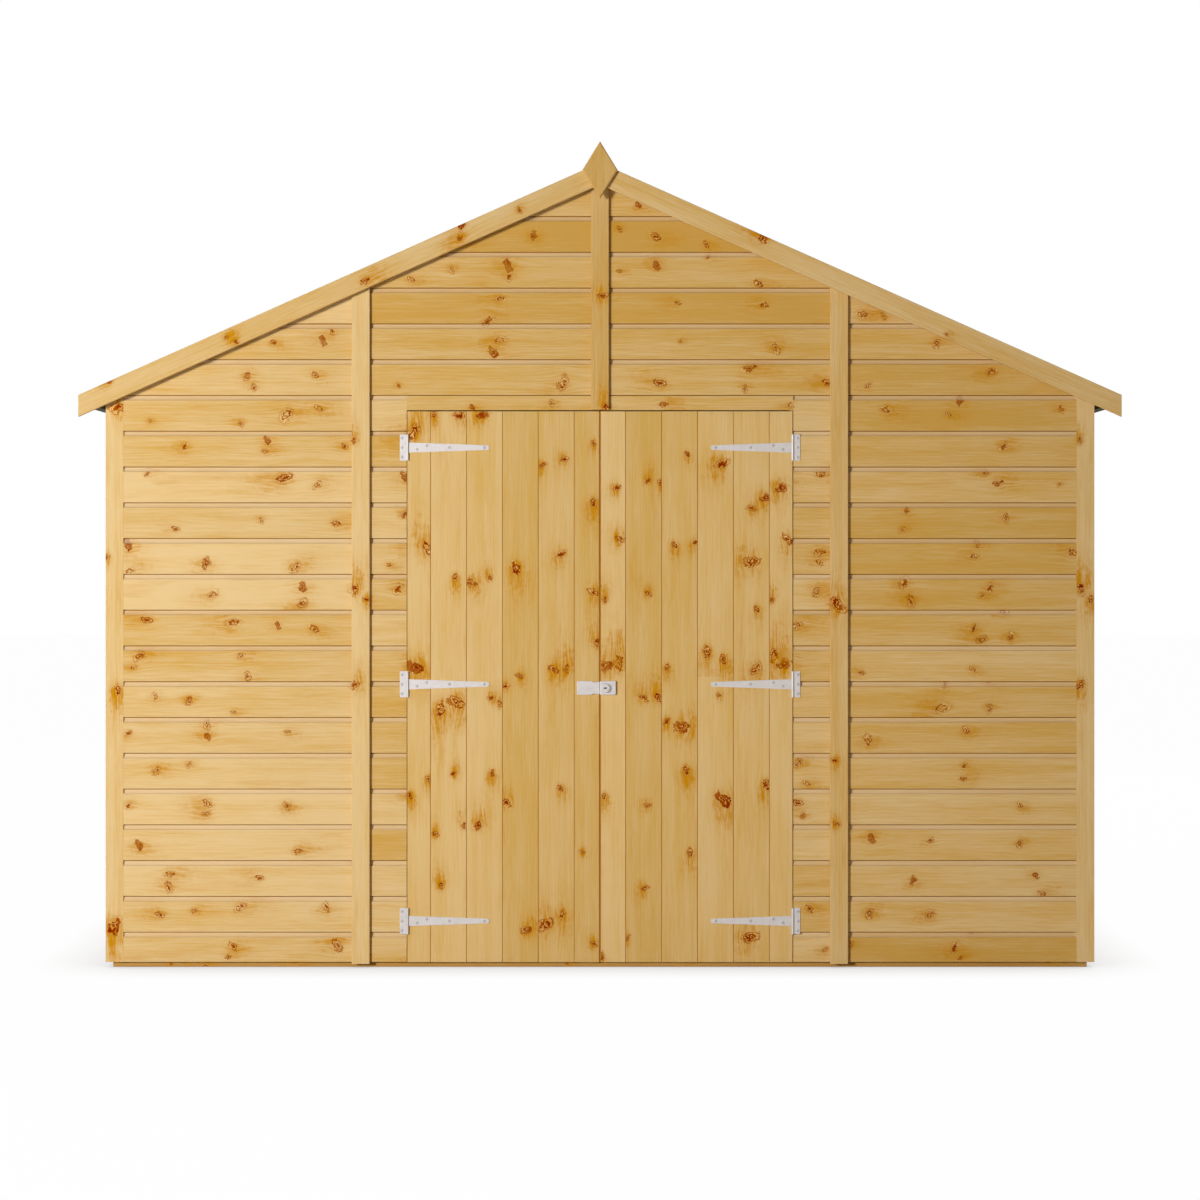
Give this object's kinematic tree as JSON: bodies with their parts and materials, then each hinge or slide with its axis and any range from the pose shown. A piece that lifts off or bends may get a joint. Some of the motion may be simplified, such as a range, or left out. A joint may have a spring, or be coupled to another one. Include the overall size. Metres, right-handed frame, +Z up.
{
  "type": "wooden garden shed",
  "caption": "Wooden garden shed with a felted ridge roof, overlapping board walls on a stud frame, a timber floor and a pair of ledged doors on strap hinges in the front gable.",
  "frame": {"origin": "on the ground under the middle of the shed's outline", "axes": "+X to the right seen from the front, +Y from the front to the back, +Z up"},
  "size_m": [3.152, 2.512, 2.5001],
  "materials": {
    "cladding_pine": "planed and honey stained",
    "trim_pine": "planed and honey stained",
    "door_pine": "planed and honey stained",
    "frame_pine": "sawn, left plain",
    "floor_pine": "planed, left plain",
    "bearer_pine": "sawn and pressure treated",
    "roof_pine": "sawn, left plain",
    "roof_felt": "mineral faced",
    "zinc_steel": "bright zinc plated",
    "lock_metal": "satin plated"
  },
  "bodies": {
    "shed": {"floor_bearers": "bearer_pine", "floor_deck": "floor_pine", "front_left_panel": "cladding_pine", "front_right_panel": "cladding_pine", "front_left_door_panel": "cladding_pine", "front_right_door_panel": "cladding_pine", "front_gable_panel": "cladding_pine", "front_wall_studs": "frame_pine", "front_wall_rails": "frame_pine", "back_wall_panel": "cladding_pine", "back_wall_studs": "frame_pine", "back_wall_rails": "frame_pine", "left_wall_panel": "cladding_pine", "right_wall_panel": "cladding_pine", "side_wall_studs": "frame_pine", "side_wall_rails": "frame_pine", "corner_strips": "trim_pine", "panel_cover_strips": "trim_pine", "gable_centre_strip": "trim_pine", "ridge_board": "frame_pine", "roof_purlins": "frame_pine", "truss_rafters": "frame_pine", "truss_collar": "frame_pine", "left_roof_deck": "roof_pine", "right_roof_deck": "roof_pine", "eaves_battens": "roof_pine", "left_roof_felt": "roof_felt", "right_roof_felt": "roof_felt", "ridge_felt": "roof_felt", "front_left_barge": "trim_pine", "front_right_barge": "trim_pine", "back_left_barge": "trim_pine", "back_right_barge": "trim_pine", "finials": "trim_pine", "hinge_plates": "zinc_steel"},
    "left_door": {"left_door_boards": "door_pine", "left_door_ledges": "frame_pine", "left_door_braces": "frame_pine", "left_door_hinge_straps": "zinc_steel", "lock_keeper": "lock_metal"},
    "right_door": {"right_door_boards": "door_pine", "right_door_ledges": "frame_pine", "right_door_braces": "frame_pine", "right_door_hinge_straps": "zinc_steel", "lock_case": "lock_metal"}
  },
  "joints": [
    {"name": "left_door_hinge", "type": "hinge", "parent": "shed", "child": "left_door", "pos_m": [-0.584, -1.204, 0.86], "axis": [0, 0, -1], "range_deg": [0, 170]},
    {"name": "right_door_hinge", "type": "hinge", "parent": "shed", "child": "right_door", "pos_m": [0.584, -1.204, 0.86], "axis": [0, 0, 1], "range_deg": [0, 170]}
  ]
}
